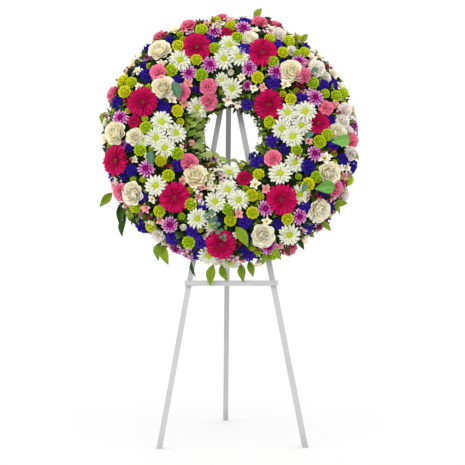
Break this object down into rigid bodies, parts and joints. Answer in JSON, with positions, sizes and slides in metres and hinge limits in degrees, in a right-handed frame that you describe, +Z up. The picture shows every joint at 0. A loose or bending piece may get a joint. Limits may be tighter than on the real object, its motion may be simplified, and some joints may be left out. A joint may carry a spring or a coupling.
{
  "type": "funeral wreath",
  "caption": "Round funeral wreath of mixed flowers and leaves on a foam ring, hung on a white wooden tripod easel whose rear leg folds on a hinge.",
  "frame": {"origin": "on the floor under the middle of the bounding box, with the three feet standing at Z=0", "axes": "+Z up; the wreath faces -Y; +X is to the right as the wreath is looked at"},
  "size_m": [0.8186, 0.5931, 1.3795],
  "materials": {
    "white_paint": "white painted timber, satin",
    "zinc_steel": "zinc plated",
    "backing_board": "moulded, dull green",
    "floral_foam": "crumbly green foam",
    "foliage": "dark green leaves",
    "gerbera": "magenta petals",
    "rose": "cream petals",
    "carnation": "pink petals",
    "white_daisy": "white petals, yellow-green centre",
    "green_button": "lime green petals",
    "lilac_daisy": "magenta petals with pale tips",
    "statice": "violet-blue papery petals",
    "filler": "small pale and pink blossom",
    "light_leaf": "bright green leaves",
    "eucalyptus": "blue-green leaves",
    "stem": "green stems"
  },
  "bodies": {
    "front": {"backing_ring": "backing_board", "carnation_1": "carnation", "carnation_2": "carnation", "carnation_3": "carnation", "carnation_4": "carnation", "carnation_5": "carnation", "crossbar": "white_paint", "crossbar_screw_left": "zinc_steel", "crossbar_screw_right": "zinc_steel", "foam_ring": "floral_foam", "foliage_clump_1": "foliage", "foliage_clump_2": "foliage", "foliage_clump_3": "foliage", "foliage_clump_4": "foliage", "foliage_clump_5": "foliage", "foliage_clump_6": "foliage", "foliage_clump_7": "foliage", "foliage_clump_8": "foliage", "front_leg_left": "white_paint", "front_leg_right": "white_paint", "gerbera_1": "gerbera", "gerbera_2": "gerbera", "gerbera_3": "gerbera", "gerbera_4": "gerbera", "gerbera_5": "gerbera", "gerbera_6": "gerbera", "gerbera_7": "gerbera", "gerbera_8": "gerbera", "green_button_1": "green_button", "green_button_2": "green_button", "green_button_3": "green_button", "hanging_screw": "zinc_steel", "hanging_wire": "zinc_steel", "head_block": "white_paint", "head_screw_left_1": "zinc_steel", "head_screw_left_2": "zinc_steel", "head_screw_right_1": "zinc_steel", "head_screw_right_2": "zinc_steel", "hinge_leaf_fixed": "zinc_steel", "hinge_pin": "zinc_steel", "hinge_screw_fixed_1": "zinc_steel", "hinge_screw_fixed_2": "zinc_steel", "rose_1": "rose", "rose_2": "rose", "rose_3": "rose", "rose_4": "rose", "rose_5": "rose", "rose_6": "rose", "rose_7": "rose", "rose_8": "rose", "rose_9": "rose", "white_daisy_1": "white_daisy", "white_daisy_2": "white_daisy", "white_daisy_3": "white_daisy", "white_daisy_4": "white_daisy", "white_daisy_5": "white_daisy"},
    "rear": {"rear_leg": "white_paint", "hinge_leaf_moving": "zinc_steel", "hinge_screw_moving_1": "zinc_steel", "hinge_screw_moving_2": "zinc_steel"}
  },
  "joints": [
    {"name": "rear_leg_fold", "type": "hinge", "parent": "front", "child": "rear", "pos_m": [0, -0.01552, 1.19773], "axis": [1, 0, 0], "range_deg": [-24.5, 0]}
  ]
}
